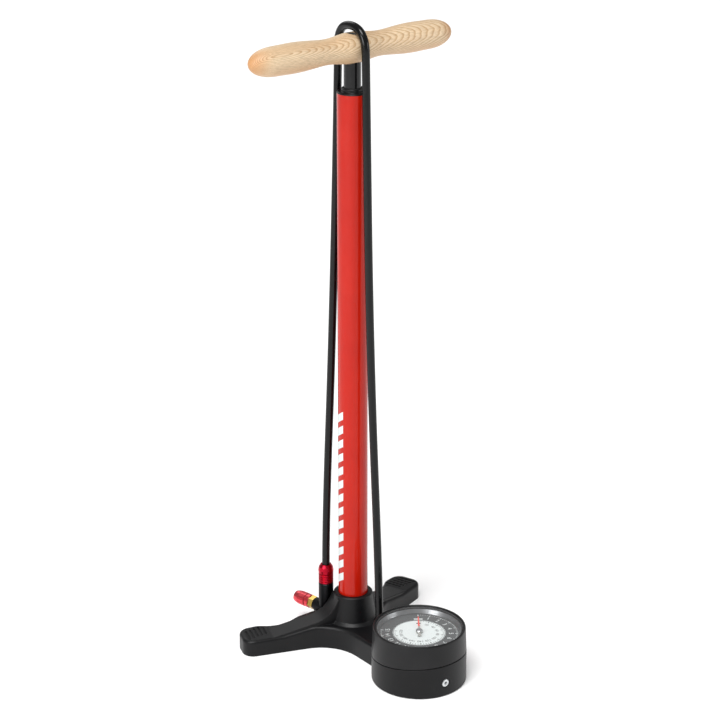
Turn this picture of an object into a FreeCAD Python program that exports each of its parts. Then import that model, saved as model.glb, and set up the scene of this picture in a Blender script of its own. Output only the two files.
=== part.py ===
"""A floor-standing bicycle pump with a pressure gauge, drawn as separate pieces in one frame.

Millimetres. The barrel stands on +Z with the ground at z = 0, the gauge is towards -Y and the
handle runs along X. Each piece is one document object whose label is also its file name.
"""
import FreeCAD
import Part
import Sketcher
import math
import os
import re

# every driving dimension, in millimetres, degrees or a plain count
SIZES = {
    # barrel, rod and handle
    "barrel_outer": 30.5, "barrel_wall": 1.3, "barrel_floor": 14, "barrel_top": 588.5,
    "cap_rim_high": 1.6, "cap_collar_high": 3.6, "cap_plug_long": 17,
    "rod_outer": 17, "rod_wall": 2, "grip_half": 120.5, "grip_radius": 14.7, "grip_boss": 15.4,
    # moulded base
    "deck_high": 24, "pad_high": 18, "foot_reach": 118, "foot_width": 33, "foot_angle": 20,
    "neck_half": 24.7, "back_edge": 36.5, "socket_high": 54, "socket_wall": 5.05,
    "channel_high": 6, "channel_radius": 1.5,
    # gauge
    "case_radius": 48.3, "parting_high": 29, "parting_tilt": 5.9, "upper_high": 29.3,
    "case_wall": 4, "case_floor": 5, "gear_module": 0.6, "pinion_teeth": 12, "sector_teeth": 72,
    # hose and chuck
    "hose_outer": 8.2, "hose_inner": 4.4, "chuck_radius": 7.8, "chuck_high": 57.5,
    "chuck_side": 14.8, "branch_angle": 101, "branch_black": 15,
}

# sizes that follow from those
DERIVED = {
    "barrel_inner": "barrel_outer - 2 * barrel_wall",
    "socket_radius": "barrel_outer / 2 + socket_wall",
    "socket_foot": "socket_radius + 4.2",
    "rod_inner": "rod_outer - 2 * rod_wall",
    "cap_collar": "rod_outer + 4.6",
    # the piston stack, from the barrel's floor upwards
    "nut_low": "barrel_floor + 0.3",
    "nut_high": "barrel_floor + 7",
    "cup_high": "barrel_floor + 13",
    "rod_foot": "barrel_floor + 22",
    "piston_high": "barrel_floor + 30",
    "bumper_high": "barrel_floor + 36",
    "grip_centre": "barrel_top + 44",
    "rod_head": "grip_centre - 7",
    "gauge_offset": "case_radius + 62",
    "rim_radius": "case_radius - 1.2",
    "glass_radius": "rim_radius - 2.65",
    "dial_radius": "glass_radius - 3.15",
    "screw_radius": "case_radius - 8",
    "tube_radius": "case_radius - 15.3",
    "rim_high": "parting_high + upper_high",
    "glass_low": "rim_high - 3.3",
    "dial_high": "glass_low - 5",
    "plate_high": "dial_high - 4",
    "plate_low": "plate_high - 10",
    "hose_foot": "socket_radius + 24.7",
    "chuck_back": "barrel_outer / 2 + 12.35",
    "chuck_nut_high": "chuck_high + 21",
    "branch_high": "deck_high + 3",
    "branch_brass": "branch_black + 6",
    "branch_tip": "branch_brass + 21",
}

document = FreeCAD.newDocument("Pump")
sheet = document.addObject("Spreadsheet::Sheet", "Sizes")
for row, (name, entry) in enumerate(list(SIZES.items()) + list(DERIVED.items()), start=1):
    sheet.set("A%d" % row, name)
    sheet.set("B%d" % row, "=" + entry if name in DERIVED else str(entry))
    sheet.setAlias("B%d" % row, name)
document.recompute()


def bound(text):
    """The expression text with each size name pointed at the sheet."""
    return re.sub(r"\b([a-z]+_[a-z_]+)\b", r"Sizes.\1", str(text))


def number(text):
    """What an expression comes to now."""
    return float(sheet.evalExpression(bound(text)))


def bind(thing, prop, text):
    """Set a property from an expression, so that it follows the sheet."""
    thing.setExpression(prop, bound(text))


def place(thing, x="0", y="0", z="0", turn="0", axis=(0, 0, 1)):
    """Place a sub-part by expressions, turned about one axis."""
    thing.Placement = FreeCAD.Placement(
        FreeCAD.Vector(number(x), number(y), number(z)),
        FreeCAD.Rotation(FreeCAD.Vector(*axis), number(turn)))
    bind(thing, "Placement.Base.x", x)
    bind(thing, "Placement.Base.y", y)
    bind(thing, "Placement.Base.z", z)
    bind(thing, "Placement.Rotation.Angle", turn)
    return thing


def new_body(label):
    """An empty body whose label names its file."""
    body = document.addObject("PartDesign::Body", label)
    body.Label = label
    return body


def sketch_on(body, role, offset=None):
    """A sketch on one of the body's own origin planes."""
    plane = [item for item in body.Origin.OriginFeatures if item.Role == role][0]
    sketch = body.newObject("Sketcher::SketchObject", body.Name + "_outline")
    sketch.AttachmentSupport = (plane, [""])
    sketch.MapMode = "FlatFace"
    if offset is not None:
        sketch.AttachmentOffset = offset
    return sketch


def pin_point(sketch, edge, end, x, y):
    """Hold one sketch point at a position given by two expressions."""
    for kind, text in (("DistanceX", x), ("DistanceY", y)):
        index = sketch.addConstraint(Sketcher.Constraint(kind, -1, 1, edge, end, number(text)))
        if not re.fullmatch(r"-?[0-9.]+", str(text)):
            sketch.setExpression("Constraints[%d]" % index, bound(text))


def polygon(sketch, points):
    """A closed outline through points given as pairs of expressions."""
    first = sketch.GeometryCount
    spots = [FreeCAD.Vector(number(x), number(y), 0) for x, y in points]
    count = len(spots)
    for index in range(count):
        sketch.addGeometry(Part.LineSegment(spots[index], spots[(index + 1) % count]), False)
    for index in range(count):
        following = (index + 1) % count
        sketch.addConstraint(
            Sketcher.Constraint("Coincident", first + index, 2, first + following, 1))
    for index, (x, y) in enumerate(points):
        pin_point(sketch, first + index, 1, x, y)


def circle(sketch, x, y, radius):
    """A circle with its centre and radius given as expressions."""
    spot = FreeCAD.Vector(number(x), number(y), 0)
    edge = sketch.addGeometry(Part.Circle(spot, FreeCAD.Vector(0, 0, 1), number(radius)), False)
    pin_point(sketch, edge, 3, x, y)
    index = sketch.addConstraint(Sketcher.Constraint("Radius", edge, number(radius)))
    sketch.setExpression("Constraints[%d]" % index, bound(radius))


def feature(body, kind, sketch, **values):
    """Add a feature made from a sketch, and bind the values given as text."""
    item = body.newObject("PartDesign::" + kind, body.Name + "_" + kind)
    item.Profile = sketch
    for name, value in values.items():
        if isinstance(value, str):
            bind(item, name, value)
        else:
            setattr(item, name, value)
    sketch.Visibility = False
    document.recompute()
    return item


def spin(body, points, angle=360, cut=False):
    """Turn a profile of (radius, height) pairs about the body's own upright axis."""
    sketch = sketch_on(body, "XZ_Plane")
    polygon(sketch, points)
    kind = "Groove" if cut else "Revolution"
    return feature(body, kind, sketch, ReferenceAxis=(sketch, ["V_Axis"]), Angle=angle)


def turned(label, points, **where):
    """A piece turned from one profile."""
    body = new_body(label)
    spin(body, points)
    place(body, **where)
    return body


def pad(body, draw, length, role="XY_Plane", offset=None, **values):
    """Add the shape that draw() puts in a sketch, for a length given as an expression."""
    sketch = sketch_on(body, role, offset)
    draw(sketch)
    return feature(body, "Pad", sketch, Length=str(length), **values)


def pocket(body, draw, length, role="XY_Plane", offset=None, **values):
    """Cut the shape that draw() puts in a sketch, for a length given as an expression."""
    sketch = sketch_on(body, role, offset)
    draw(sketch)
    return feature(body, "Pocket", sketch, Length=str(length), **values)


def lifted(height):
    """A sketch offset along its plane's own normal."""
    return FreeCAD.Placement(FreeCAD.Vector(0, 0, number(height)), FreeCAD.Rotation())


def round_edges(body, radius, chosen):
    """Round the edges of the tip that chosen() picks."""
    tip = body.Tip
    names = ["Edge%d" % (index + 1) for index, edge in enumerate(tip.Shape.Edges) if chosen(edge)]
    fillet = body.newObject("PartDesign::Fillet", body.Name + "_round")
    fillet.Base = (tip, names)
    fillet.Radius = radius
    document.recompute()
    return fillet


def upright(edge):
    """True for a straight edge that stands on end."""
    ends = [vertex.Point for vertex in edge.Vertexes]
    if len(ends) != 2:
        return False
    return abs(ends[0].z - ends[1].z) > 5 and ends[0].distanceToPoint(ends[1]) < abs(
        ends[0].z - ends[1].z) + 0.01


def rod(label, radius, low, high, **where):
    """A plain round bar between two heights."""
    return turned(label, [("0", low), (radius, low), (radius, high), ("0", high)], **where)


def ring(label, inner, outer, low, high, **where):
    """A plain ring between two heights."""
    return turned(label, [(inner, low), (outer, low), (outer, high), (inner, high)], **where)


def group(label, members):
    """Several loose solids of one kind, kept as one sub-part."""
    compound = document.addObject("Part::Compound", label)
    compound.Label = label
    compound.Links = members
    return compound


# ---------------------------------------------------------------- moulded base
def leg_corners(side):
    """Plan corners of one leg, from the neck round the foot to the back edge."""
    front = "(foot_reach - neck_half)"
    tip_x = "foot_reach"
    tip_y = "%s * tan(foot_angle) - 4.7" % front
    far_x = "foot_reach - foot_width * sin(foot_angle)"
    far_y = "%s + foot_width * cos(foot_angle)" % tip_y
    spots = [
        ("neck_half", "-4.7"),
        (tip_x, tip_y),
        (far_x, far_y),
        ("%s - 21" % far_x, "%s - 5.5" % far_y),
        ("%s - 43" % far_x, "back_edge"),
    ]
    if side > 0:
        return spots
    return [("-(%s)" % x, y) for x, y in reversed(spots)]


def draw_deck(sketch):
    """Plan of the legs and of the neck that joins them to the gauge cup."""
    root = "-gauge_offset + case_radius - 14"
    spots = [("neck_half", root)] + leg_corners(1)
    spots += leg_corners(-1) + [("-neck_half", root)]
    polygon(sketch, spots)


def corner_radius(edge):
    """How far an upright deck corner is rounded, by where it stands."""
    spot = edge.Vertexes[0].Point
    reach = abs(spot.x)
    if reach < number("neck_half") + 1:
        return 45 if spot.y > -20 else 0
    if reach > number("foot_reach") - 14:
        return 12
    return 16 if reach > number("foot_reach") - 40 else 24


def draw_foot_relief(sketch):
    """What is cut off above each foot, seen from the front."""
    for side in ("", "-"):
        polygon(sketch, [
            (side + "(foot_reach - 72)", "deck_high + 30"),
            (side + "(foot_reach - 72)", "deck_high"),
            (side + "(foot_reach - 40)", "pad_high"),
            (side + "(foot_reach + 22)", "pad_high - 1.2"),
            (side + "(foot_reach + 22)", "deck_high + 30")])


def build_base():
    """The one-piece moulding: two feet, the socket for the barrel and the cup of the gauge."""
    body = new_body("base")
    pad(body, draw_deck, "deck_high")
    for radius in (45, 12, 16, 24):
        round_edges(body, radius, lambda edge: upright(edge) and corner_radius(edge) == radius)
    pocket(body, draw_foot_relief, "200", role="XZ_Plane", Midplane=True)
    round_edges(body, 26, lambda edge: is_bend(edge))
    round_edges(body, 3.2, lambda edge: is_top_rim(body, edge))
    spin(body, [
        ("0", "0"), ("socket_foot + 3", "0"), ("socket_foot + 3", "deck_high"),
        ("socket_foot", "deck_high + 3"), ("socket_radius + 1.6", "socket_high - 14"),
        ("socket_radius", "socket_high - 1"), ("socket_radius - 1", "socket_high"),
        ("0", "socket_high")])
    for turn in (20, 160):
        add_ridge(body, turn)
    add_cup(body)
    cut_bores(body)
    cut_underside(body)
    body.Tip.Refine = True
    document.recompute()
    return body


def is_bend(edge):
    """True for the level edges across a leg where its top starts and stops falling."""
    box = edge.BoundBox
    return (box.ZLength < 0.01 and box.XLength < 0.01 and box.YLength > 10
            and box.ZMin > number("pad_high") - 2 and abs(edge.CenterOfMass.x) > 40)


def is_top_rim(body, edge):
    """True for the edges between the top of the deck and its sides."""
    if edge.BoundBox.ZMin < number("pad_high") - 2 or edge.CenterOfMass.y < -60:
        return False
    kinds = []
    for face in body.Tip.Shape.Faces:
        if any(edge.isSame(other) for other in face.Edges):
            middle = face.Surface.parameter(edge.CenterOfMass)
            kinds.append(abs(face.normalAt(*middle).z) > 0.5)
    return len(kinds) == 2 and kinds[0] != kinds[1]


def add_ridge(body, turn):
    """The broad web that sweeps from the socket down on to one leg."""
    offset = FreeCAD.Placement(FreeCAD.Vector(), FreeCAD.Rotation(FreeCAD.Vector(0, 1, 0), turn))
    width = 22

    def draw(sketch):
        polygon(sketch, [
            ("12", "deck_high - 8"), ("12", "socket_high - 3"),
            ("socket_radius - 1", "socket_high - 3"), ("socket_radius + 7", "deck_high + 7"),
            ("foot_reach - 22", "pad_high - 1.5"), ("foot_reach - 22", "deck_high - 8")])

    pad(body, draw, str(width), role="XZ_Plane", offset=offset, Midplane=True)
    direction = FreeCAD.Vector(math.cos(math.radians(turn)), math.sin(math.radians(turn)), 0)
    knee_reach = number("socket_radius + 7")

    def knee(edge):
        middle = edge.CenterOfMass
        return (edge.BoundBox.ZLength < 0.01 and abs(middle.z - number("deck_high + 7")) < 0.01
                and abs(middle.dot(direction) - knee_reach) < 2 and abs(edge.Length - width) < 0.6)

    round_edges(body, 34, knee)


def tilt_outline(sketch, low, high, rise):
    """A strip seen from the side whose one edge is the tilted parting plane."""
    reach = "(case_radius + 0.02)"
    slope = "%s * tan(parting_tilt)" % reach
    polygon(sketch, [
        (low, "parting_high + %s + %s" % (rise, slope)),
        (high, "parting_high + %s - %s" % (rise, slope)),
        (high, "parting_high + %s" % ("60" if rise == "0" else "-60")),
        (low, "parting_high + %s" % ("60" if rise == "0" else "-60"))])


def add_cup(body):
    """The cup that holds the gauge's works, its screw bosses and its slanting top."""
    pad(body, lambda sketch: circle(sketch, "0", "-gauge_offset", "case_radius"), "parting_high + 9")
    round_edges(body, 2, lambda edge: edge.BoundBox.ZMax < 0.01 and edge.BoundBox.YMin
                < -number("gauge_offset") - 40)
    pocket(body, lambda sketch: circle(sketch, "0", "-gauge_offset", "case_radius - case_wall"),
           "60", offset=lifted("case_floor"), Reversed=True)

    def cut(sketch):
        tilt_outline(sketch, "-gauge_offset - case_radius - 0.02",
                     "-gauge_offset + case_radius + 0.02", "0")

    pocket(body, cut, "2 * case_radius + 4", role="YZ_Plane", Midplane=True)

    def bosses(sketch):
        for angle in (30, 150, 270):
            circle(sketch, "screw_radius * cos(%d)" % angle, "-gauge_offset + screw_radius * sin(%d)" % angle, "4.6")

    pad(body, bosses, "19", offset=lifted("case_floor - 0.5"))

    def stem_boss(sketch):
        near = "-gauge_offset + tube_radius"
        polygon(sketch, [("8", near + " - 7"), ("8", near + " + 14"),
                         ("-8", near + " + 14"), ("-8", near + " - 7")])

    pad(body, stem_boss, "7.5", offset=lifted("case_floor - 0.5"))


def cut_bores(body):
    """Barrel seat, valve chamber, air channel, ports, and the place where the chuck docks."""
    spin(body, [
        ("0", "barrel_floor - 1.5"), ("barrel_outer / 2 + 0.05", "barrel_floor - 1.5"),
        ("barrel_outer / 2 + 0.05", "socket_high - 0.8"),
        ("barrel_outer / 2 + 0.8", "socket_high + 1"), ("0", "socket_high + 1")], cut=True)
    spin(body, [
        ("0", "2.5"), ("3.5", "2.5"), ("3.5", "9"), ("6", "9"), ("6", "barrel_floor"),
        ("0", "barrel_floor")], cut=True)
    pocket(body, lambda sketch: circle(sketch, "0", "channel_high", "channel_radius"),
           "gauge_offset - tube_radius", role="XZ_Plane", Reversed=True)
    pocket(body, lambda sketch: circle(sketch, "0", "-hose_foot", "channel_radius"), "12",
           offset=lifted("channel_high"), Reversed=True)
    pocket(body, lambda sketch: circle(sketch, "0", "-hose_foot", "4.6"), "30",
           offset=lifted("deck_high - 8"), Reversed=True)
    pocket(body, lambda sketch: circle(sketch, "0", "-gauge_offset + tube_radius",
                                       "channel_radius"), "10",
           offset=lifted("channel_high"), Reversed=True)

    def notch(sketch):
        polygon(sketch, [
            ("-chuck_side - chuck_radius - 3.2", "chuck_back - chuck_radius - 0.4"),
            ("-chuck_side + chuck_radius + 1.7", "chuck_back - chuck_radius - 0.4"),
            ("-chuck_side + chuck_radius + 1.7", "chuck_back + 20"),
            ("-chuck_side - chuck_radius - 3.2", "chuck_back + 20")])

    pocket(body, notch, "60", offset=lifted("branch_high - 10"), Reversed=True)
    pad(body, lambda sketch: circle(sketch, "-chuck_side", "chuck_back", "3.2"), "12",
        offset=lifted("branch_high - 11"))


def cut_underside(body):
    """Hollows, foot recesses and screw holes that open downwards."""
    def hollows(sketch):
        for side in ("", "-"):
            polygon(sketch, [
                (side + "33", "0"), (side + "70", "18"), (side + "66", "32"), (side + "33", "32")])

    pocket(body, hollows, "deck_high - 6", Reversed=True)
    for side, turn in (("", 20), ("-", -20)):
        def grips(sketch):
            for index in range(5):
                middle = number("foot_reach") - 32 + 5.0 * index
                lean = math.tan(math.radians(20))
                polygon(sketch, [(side + "%.2f" % (middle + shift - lean * rise), "%.2f" % (41 + rise))
                                 for shift, rise in ((-1, -9), (1, -9), (1, 9), (-1, 9))])

        pocket(body, grips, "20", offset=lifted("pad_high - 1.4"), Reversed=True)

    def feet(sketch):
        for side in ("", "-"):
            circle(sketch, side + "foot_reach - 16" if not side else "16 - foot_reach", "41", "9")
        circle(sketch, "0", "-gauge_offset - 22", "9")

    pocket(body, feet, "3", Reversed=True)

    def heads(sketch):
        for angle in (30, 150, 270):
            circle(sketch, "screw_radius * cos(%d)" % angle, "-gauge_offset + screw_radius * sin(%d)" % angle, "3.4")

    pocket(body, heads, "3.2", Reversed=True)

    def holes(sketch):
        for angle in (30, 150, 270):
            circle(sketch, "screw_radius * cos(%d)" % angle, "-gauge_offset + screw_radius * sin(%d)" % angle, "1.8")

    pocket(body, holes, "30", Reversed=True)
    for radius, depth in ((4.6, 1.0), (2.0, 3.6)):
        wall = FreeCAD.Placement(FreeCAD.Vector(
            -4.45, number("parting_high / 2 + 0.5"), number("gauge_offset + case_radius") - depth),
            FreeCAD.Rotation())
        pocket(body, lambda sketch: circle(sketch, "0", "0", str(radius)), "10",
               role="XZ_Plane", offset=wall, Reversed=True)


def build_small_base_parts():
    """Rubber feet, the screw in the cup's wall, and the screws that hold the gauge shut."""
    feet = []
    spots = (("foot_reach - 16", "41"), ("16 - foot_reach", "41"), ("0", "-gauge_offset - 22"))
    for index, (x, y) in enumerate(spots):
        feet.append(rod("foot_%d" % index, "8.7", "0", "3", x=x, y=y))
    group("foot_pads", feet)
    screws = []
    for index, angle in enumerate((30, 150, 270)):
        screws.append(turned("case_screw_%d" % index, [
            ("0", "1.2"), ("1", "1.2"), ("1.2", "0.8"), ("2.8", "0.8"), ("3", "1.2"),
            ("3", "3.2"), ("1.5", "3.2"), ("1.5", "rim_high - 20.3"), ("0", "rim_high - 18.8")],
            x="screw_radius * cos(%d)" % angle, y="-gauge_offset + screw_radius * sin(%d)" % angle))
    group("case_screws", screws)
    body = new_body("rim_screw")
    spin(body, [("0", "-2.4"), ("1.8", "-2.4"), ("1.8", "0"), ("4", "0"), ("4", "0.7"),
                ("3.5", "1.1"), ("0", "1.1")])
    pocket(body, lambda sketch: hexagon(sketch, "1.7"), "3", offset=lifted("0.1"), Reversed=True)
    place(body, x="-4.45", y="-gauge_offset - case_radius + 1.0", z="parting_high / 2 + 0.5",
          turn="90", axis=(1, 0, 0))


def hexagon(sketch, flat_radius):
    """A hexagon about the sketch's origin, by the radius to its flats."""
    polygon(sketch, [("(%s) / cos(30) * cos(%d)" % (flat_radius, angle),
                      "(%s) / cos(30) * sin(%d)" % (flat_radius, angle))
                     for angle in range(0, 360, 60)])


# ---------------------------------------------------------------- barrel, rod and piston
def build_barrel():
    """The tube, its seal and cap, and the bush and wiper that guide the rod."""
    ring("barrel", "barrel_inner / 2", "barrel_outer / 2", "barrel_floor", "barrel_top")
    ring("barrel_seal", "barrel_inner / 2", "barrel_outer / 2", "barrel_floor - 1.5",
         "barrel_floor")
    turned("barrel_cap", [
        ("barrel_inner / 2 - 0.3", "barrel_top - cap_plug_long"),
        ("barrel_inner / 2 - 0.3", "barrel_top"),
        ("barrel_outer / 2", "barrel_top"),
        ("barrel_outer / 2", "barrel_top + cap_rim_high - 0.8"),
        ("barrel_outer / 2 - 0.8", "barrel_top + cap_rim_high"),
        ("cap_collar / 2 + 0.6", "barrel_top + cap_rim_high"),
        ("cap_collar / 2", "barrel_top + cap_rim_high + 0.6"),
        ("cap_collar / 2", "barrel_top + cap_rim_high + cap_collar_high - 0.7"),
        ("cap_collar / 2 - 0.7", "barrel_top + cap_rim_high + cap_collar_high"),
        ("cap_collar / 2 - 1", "barrel_top + cap_rim_high + cap_collar_high"),
        ("cap_collar / 2 - 1", "barrel_top + cap_rim_high + 1"),
        ("rod_outer / 2 + 0.4", "barrel_top + cap_rim_high + 1"),
        ("rod_outer / 2 + 0.4", "barrel_top - 1"),
        ("rod_outer / 2 + 2.2", "barrel_top - 1"),
        ("rod_outer / 2 + 2.2", "barrel_top - cap_plug_long")])
    ring("rod_bush", "rod_outer / 2 + 0.05", "rod_outer / 2 + 2.15",
         "barrel_top - cap_plug_long + 1", "barrel_top - 1")
    turned("rod_wiper", [
        ("rod_outer / 2 + 0.05", "barrel_top + cap_rim_high + 1"),
        ("cap_collar / 2 - 1", "barrel_top + cap_rim_high + 1"),
        ("cap_collar / 2 - 1", "barrel_top + cap_rim_high + cap_collar_high - 0.6"),
        ("rod_outer / 2 + 0.5", "barrel_top + cap_rim_high + cap_collar_high + 0.3"),
        ("rod_outer / 2 + 0.05", "barrel_top + cap_rim_high + cap_collar_high")])


def build_plunger():
    """Rod, piston and everything else that goes up and down with the handle."""
    ring("piston_rod", "rod_inner / 2", "rod_outer / 2", "rod_foot", "rod_head")
    plugs = [
        ring("rod_plug_low", "3.05", "rod_inner / 2 - 0.05", "rod_foot + 8", "rod_foot + 30"),
        ring("rod_plug_high", "3.05", "rod_inner / 2 - 0.05", "rod_head - 24", "rod_head")]
    group("rod_plugs", plugs)
    turned("piston", [
        ("3.05", "cup_high"), ("barrel_inner / 2 - 2.4", "cup_high"),
        ("barrel_inner / 2 - 0.3", "cup_high + 3"),
        ("barrel_inner / 2 - 0.3", "piston_high"), ("rod_outer / 2 + 0.05", "piston_high"),
        ("rod_outer / 2 + 0.05", "rod_foot"), ("3.05", "rod_foot")])
    turned("piston_seal", [
        ("3.05", "nut_high"), ("barrel_inner / 2 - 1.6", "nut_high"),
        ("barrel_inner / 2 - 0.06", "nut_high - 1.5"), ("barrel_inner / 2 - 0.06", "cup_high"),
        ("barrel_inner / 2 - 2.4", "cup_high"), ("3.05", "cup_high")])
    nut = new_body("piston_nut")
    pad(nut, lambda sketch: hexagon(sketch, "6.5"), "nut_high - nut_low", offset=lifted("nut_low"))
    pocket(nut, lambda sketch: circle(sketch, "0", "0", "3.05"), "60", Midplane=True)
    turned("piston_bolt", [
        ("0", "nut_low + 0.6"), ("2.4", "nut_low + 0.6"), ("3", "nut_low + 1.2"),
        ("3", "rod_foot + 28"), ("2.4", "rod_foot + 29"), ("0", "rod_foot + 29")])
    ring("rod_bumper", "rod_outer / 2 + 0.05", "barrel_inner / 2 - 1.2", "piston_high", "bumper_high")
    build_handle()
    turned("handle_screw", [
        ("0", "rod_head - 18"), ("2.4", "rod_head - 18"), ("3", "rod_head - 17"),
        ("3", "rod_head + 16"), ("6", "rod_head + 16"), ("6", "rod_head + 19"),
        ("5", "rod_head + 20.4"), ("0", "rod_head + 20.8")])


def grip_profile():
    """Half outline of the grip: a boss, a neck, a swell, and an end that rounds off."""
    swell = number("grip_radius")
    half = number("grip_half")
    points = [(0.0, number("grip_boss")), (0.12 * half, swell - 0.6),
              (0.25 * half, swell - 2.3), (0.38 * half, swell - 1.5),
              (0.50 * half, swell - 0.35), (0.62 * half, swell), (0.72 * half, swell - 0.3)]
    # the end is a quarter of an ellipse, and its last few degrees are the dome's arc
    long = 0.22 * half
    for degrees in (72, 58, 44, 30, 18):
        angle = math.radians(degrees)
        points.append((half - long * (1 - math.cos(angle)), (swell - 0.5) * math.sin(angle)))
    return points


def build_handle():
    """The turned wooden grip, bored for the rod, with a seat on top for its screw."""
    points = grip_profile()
    outline = [FreeCAD.Vector(-x, 0, r) for x, r in reversed(points)]
    outline += [FreeCAD.Vector(x, 0, r) for x, r in points[1:]]
    curve = Part.BSplineCurve()
    curve.interpolate(outline)
    half = number("grip_half")
    last, depth = points[-1][1], half - points[-1][0]
    dome = (depth ** 2 + last ** 2) / (2 * depth)
    lean = math.atan2(last, dome - depth) / 2
    edges = [curve.toShape()]
    for side in (1, -1):
        middle = FreeCAD.Vector(side * (half - dome + dome * math.cos(lean)), 0,
                                dome * math.sin(lean))
        joint = FreeCAD.Vector(side * points[-1][0], 0, last)
        edges.append(Part.Arc(joint, middle, FreeCAD.Vector(side * half, 0, 0)).toShape())
    edges.append(Part.LineSegment(FreeCAD.Vector(half, 0, 0), FreeCAD.Vector(-half, 0, 0)).toShape())
    face = Part.Face(Part.Wire(Part.__sortEdges__(edges)))
    solid = face.revolve(FreeCAD.Vector(), FreeCAD.Vector(1, 0, 0), 360)
    up = FreeCAD.Vector(0, 0, 1)
    centre = number("grip_centre")
    head = number("rod_head") - centre
    solid = solid.cut(Part.makeCylinder(number("rod_outer / 2 + 0.05"), 40,
                                        FreeCAD.Vector(0, 0, head - 40), up))
    solid = solid.cut(Part.makeCylinder(3.2, 60, FreeCAD.Vector(0, 0, head - 1), up))
    solid = solid.cut(Part.makeCylinder(7, 30, FreeCAD.Vector(0, 0, head + 16), up))
    handle = document.addObject("Part::Feature", "handle")
    handle.Label = "handle"
    handle.Shape = solid
    place(handle, z="grip_centre")


# ---------------------------------------------------------------- outlet valve
def build_valve():
    """The check valve under the barrel: a seat, and a ball that rises against it."""
    turned("valve_seat", [
        ("1.8", "9"), ("5.95", "9"), ("5.95", "barrel_floor"), ("2.6", "barrel_floor"),
        ("1.8", "13")])
    ball = document.addObject("Part::Sphere", "valve_ball")
    ball.Label = "valve_ball"
    ball.Radius = 2.4
    place(ball, z="2.5 + 2.4 + 0.02")


# ---------------------------------------------------------------- gauge
def gauge_place(thing):
    """Stand a piece on the gauge's own axis."""
    return place(thing, y="-gauge_offset")


def build_gauge_case():
    """Upper housing, gasket, glass, bright ring and dial."""
    body = new_body("gauge_bezel")
    spin(body, [
        ("case_radius", "parting_high - 12"), ("case_radius", "parting_high + 1"),
        ("rim_radius + 0.1", "rim_high - 3"), ("rim_radius", "rim_high - 1.5"),
        ("rim_radius - 0.4", "rim_high - 0.4"), ("rim_radius - 1.2", "rim_high"),
        ("glass_radius + 0.8", "rim_high - 0.2"), ("glass_radius + 0.3", "rim_high - 0.8"),
        ("glass_radius + 0.3", "glass_low"), ("glass_radius - 1.2", "glass_low"),
        ("glass_radius - 1.2", "parting_high - 12")])

    def posts(sketch):
        for angle in (30, 150, 270):
            circle(sketch, "screw_radius * cos(%d)" % angle, "screw_radius * sin(%d)" % angle, "3.6")

    pad(body, posts, "28", offset=lifted("parting_high - 10"))

    def cut(sketch):
        tilt_outline(sketch, "-case_radius - 0.02", "case_radius + 0.02", "0.8")

    pocket(body, cut, "2 * case_radius + 4", role="YZ_Plane", Midplane=True)

    def holes(sketch):
        for angle in (30, 150, 270):
            circle(sketch, "screw_radius * cos(%d)" % angle, "screw_radius * sin(%d)" % angle, "1.8")

    pocket(body, holes, "rim_high - 17.3", Reversed=True)
    gauge_place(body)
    ring("gauge_gasket", "case_radius - case_wall + 0.5", "case_radius - 1.6", "0", "0.79",
         y="-gauge_offset", z="parting_high", turn="-parting_tilt", axis=(1, 0, 0))
    turned("gauge_glass", [
        ("0", "glass_low"), ("glass_radius", "glass_low"), ("glass_radius", "glass_low + 1.7"),
        ("glass_radius - 0.6", "glass_low + 2.3"), ("0", "glass_low + 2.3")], y="-gauge_offset")
    turned("dial_ring", [
        ("dial_radius - 0.7", "dial_high + 0.9"), ("dial_radius", "dial_high"),
        ("dial_radius + 1.7", "dial_high"), ("dial_radius + 1.7", "glass_low"),
        ("dial_radius + 1.3", "glass_low")], y="-gauge_offset")
    ring("dial_plate", "2", "dial_radius", "dial_high - 1", "dial_high", y="-gauge_offset")


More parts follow.
